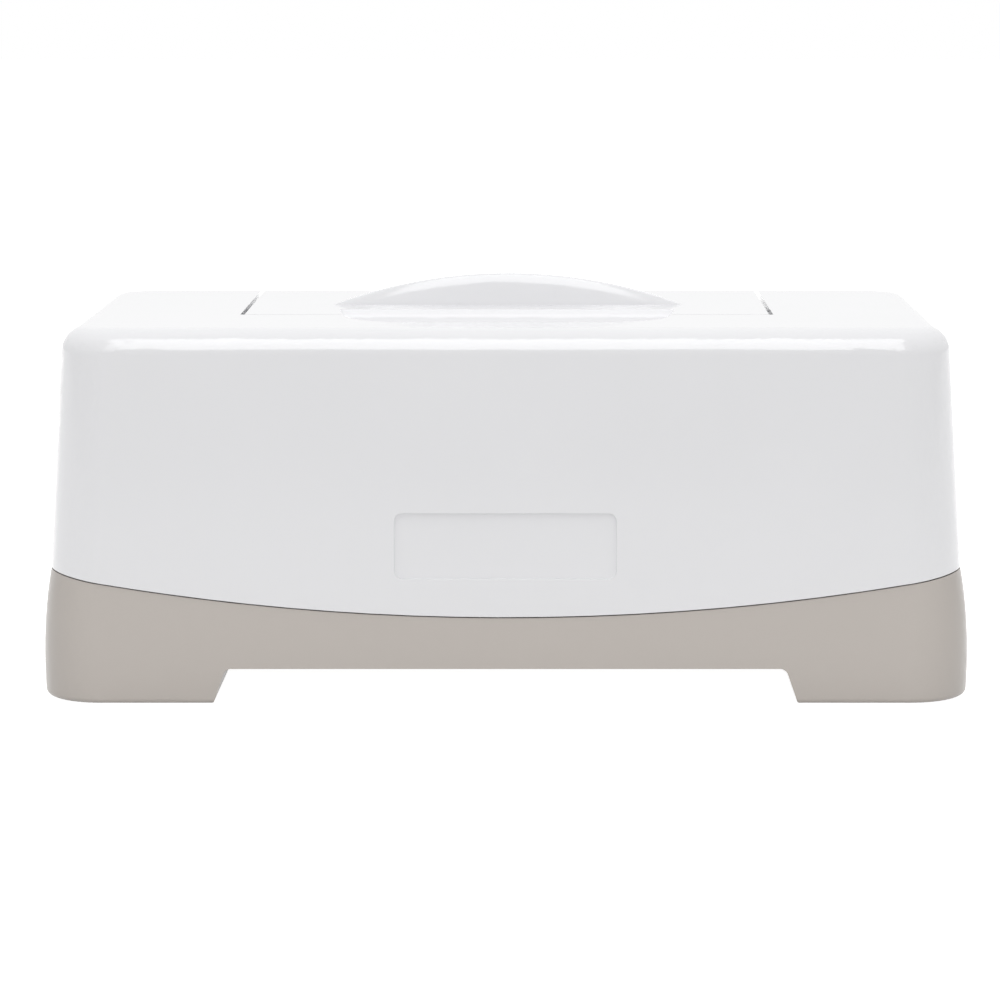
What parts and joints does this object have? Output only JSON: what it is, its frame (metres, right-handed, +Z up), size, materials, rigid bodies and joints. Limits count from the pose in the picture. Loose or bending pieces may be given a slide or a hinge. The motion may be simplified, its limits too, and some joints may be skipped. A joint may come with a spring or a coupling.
{
  "type": "baby wipes box",
  "caption": "Tabletop box for baby wipes: glossy cover with a hinged flap, raised grip and finger scoop over a footed tub, with a weighted press plate inside.",
  "frame": {"origin": "under the middle of the box, on the surface that it stands on", "axes": "+X to the box's right seen from the front, +Y to the back, where the flap's hinge is, +Z up"},
  "size_m": [0.2622, 0.132, 0.1141],
  "materials": {
    "white_plastic": "polished gloss, moulded",
    "taupe_plastic": "satin gloss, moulded",
    "liner_plastic": "fine matt",
    "seal_rubber": "soft matt silicone",
    "foot_rubber": "matt rubber",
    "pin_steel": "drawn wire",
    "weight_steel": "rolled sheet"
  },
  "bodies": {
    "base": {"base_tub": "taupe_plastic", "foot_pad_front_left": "foot_rubber", "foot_pad_front_right": "foot_rubber", "foot_pad_rear_left": "foot_rubber", "foot_pad_rear_right": "foot_rubber"},
    "cover": {"cover_shell": "white_plastic", "hinge_pin_left": "pin_steel", "hinge_pin_right": "pin_steel"},
    "lid": {"lid_flap": "white_plastic", "lid_liner": "liner_plastic", "lid_gasket": "seal_rubber"},
    "plate": {"press_plate": "liner_plastic", "plate_weight": "weight_steel", "plate_sheet": "liner_plastic"}
  },
  "joints": [
    {"name": "cover_lift", "type": "slide", "parent": "base", "child": "cover", "axis": [0, 0, 1], "range_m": [0, 0.12]},
    {"name": "lid_hinge", "type": "hinge", "parent": "cover", "child": "lid", "pos_m": [0, 0.05244, 0.0973], "axis": [-1, 0, 0], "range_deg": [0, 105]},
    {"name": "plate_rise", "type": "slide", "parent": "base", "child": "plate", "axis": [0, 0, 1], "range_m": [0, 0.055]}
  ]
}
